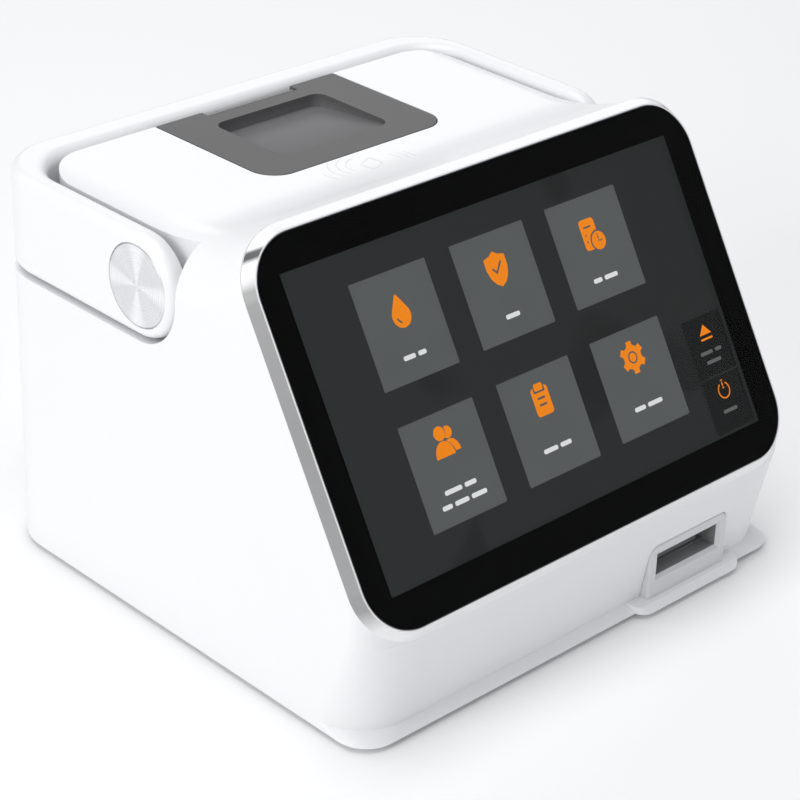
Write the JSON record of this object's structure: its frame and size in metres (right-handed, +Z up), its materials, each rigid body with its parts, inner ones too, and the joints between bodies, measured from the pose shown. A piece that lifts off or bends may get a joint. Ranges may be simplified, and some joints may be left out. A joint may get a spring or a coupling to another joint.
{
  "type": "rapid test reader",
  "caption": "Bench-top rapid test reader with a tilted touch screen, fold-down carry handle, printer door and motor-driven cassette tray.",
  "frame": {"origin": "on the table, at the middle of the footprint", "axes": "+X to the right of a person facing the screen, +Y to the back, +Z up"},
  "size_m": [0.1996, 0.192, 0.1523],
  "materials": {
    "white_shell": "satin white moulding",
    "grey_plastic": "fine texture",
    "slot_grey": "satin",
    "rubber": "matte",
    "frame_metal": "satin bevel",
    "cover_glass": "polished",
    "display": "screen",
    "brushed_cap": "turned face",
    "door_grey": "fine texture",
    "dark_plastic": "fine texture",
    "paper": "paper",
    "tray_grey": "fine texture",
    "gear_plastic": "moulded",
    "lens": "polished",
    "circuit_board": "solder mask",
    "chip_black": "moulded",
    "battery_wrap": "shrink wrap",
    "steel": "plated sheet"
  },
  "bodies": {
    "reader": {"housing": "white_shell", "base_tray": "white_shell", "rubber_feet": "rubber", "base_screws": "steel", "screen_frame": "frame_metal", "cover_glass": "cover_glass", "display_panel": "display", "display_bracket": "steel", "display_board": "circuit_board", "pivot_bolt_left": "steel", "pivot_bolt_right": "steel", "pivot_washer_left": "steel", "pivot_washer_right": "steel", "pivot_nut_left": "steel", "pivot_nut_right": "steel", "handle_rest_pads": "rubber", "door_hinge_pin": "steel", "printer_motor": "steel", "print_head": "steel", "printer_frame": "steel", "paper_bucket": "dark_plastic", "bucket_screws": "steel", "tray_motor": "steel", "tray_motor_bracket": "steel", "tray_guide": "dark_plastic", "optical_head": "dark_plastic", "optics_lens": "lens", "optics_board": "circuit_board", "slot_panel": "slot_grey", "main_board": "circuit_board", "board_screws": "steel", "board_chips": "chip_black", "battery_pack": "battery_wrap", "rear_panel": "dark_plastic", "network_port": "steel", "usb_ports": "steel", "power_inlet": "chip_black", "switch_frame": "chip_black", "contactless_board": "circuit_board"},
    "carry_handle": {"handle": "white_shell", "grip_cover": "grey_plastic", "grip_screws": "steel", "pivot_cap_left": "brushed_cap", "pivot_cap_right": "brushed_cap"},
    "door": {"printer_door": "door_grey"},
    "platen": {"platen_roller": "rubber", "platen_shaft": "steel"},
    "printer_drive": {"printer_drive_gear": "gear_plastic"},
    "roll": {"paper_roll": "paper"},
    "tray": {"cassette_tray": "tray_grey", "tray_rack": "gear_plastic"},
    "pinion": {"tray_pinion": "gear_plastic"},
    "rocker": {"power_rocker": "chip_black"}
  },
  "joints": [
    {"name": "handle_swing", "type": "hinge", "parent": "reader", "child": "carry_handle", "pos_m": [0, 0.01532, 0.1224], "axis": [1, 0, 0], "range_deg": [0, 90]},
    {"name": "door_lift", "type": "hinge", "parent": "reader", "child": "door", "pos_m": [0, 0.078, 0.1375], "axis": [-1, 0, 0], "range_deg": [0, 85]},
    {"name": "platen_spin", "type": "hinge", "parent": "door", "child": "platen", "pos_m": [0, 0.02902, 0.1277], "axis": [1, 0, 0], "continuous": true},
    {"name": "drive_spin", "type": "hinge", "parent": "reader", "child": "printer_drive", "pos_m": [0, 0.02902, 0.1157], "axis": [1, 0, 0], "continuous": true},
    {"name": "roll_spin", "type": "hinge", "parent": "reader", "child": "roll", "pos_m": [0, 0.05731, 0.11411], "axis": [1, 0, 0], "continuous": true},
    {"name": "tray_out", "type": "slide", "parent": "reader", "child": "tray", "axis": [0, -1, 0], "range_m": [0, 0.082]},
    {"name": "pinion_spin", "type": "hinge", "parent": "reader", "child": "pinion", "pos_m": [0.0718, -0.0632, 0.016], "axis": [0, 0, 1], "range_deg": [-5, 600]},
    {"name": "rocker_tilt", "type": "hinge", "parent": "reader", "child": "rocker", "pos_m": [0.044, 0.0907, 0.024], "axis": [0, 0, -1], "range_deg": [0, 14]}
  ],
  "couplings": [
    {"joint": "drive_spin", "follows": "platen_spin", "ratio": -0.66667},
    {"joint": "pinion_spin", "follows": "tray_out", "rad_per_m": 125}
  ]
}
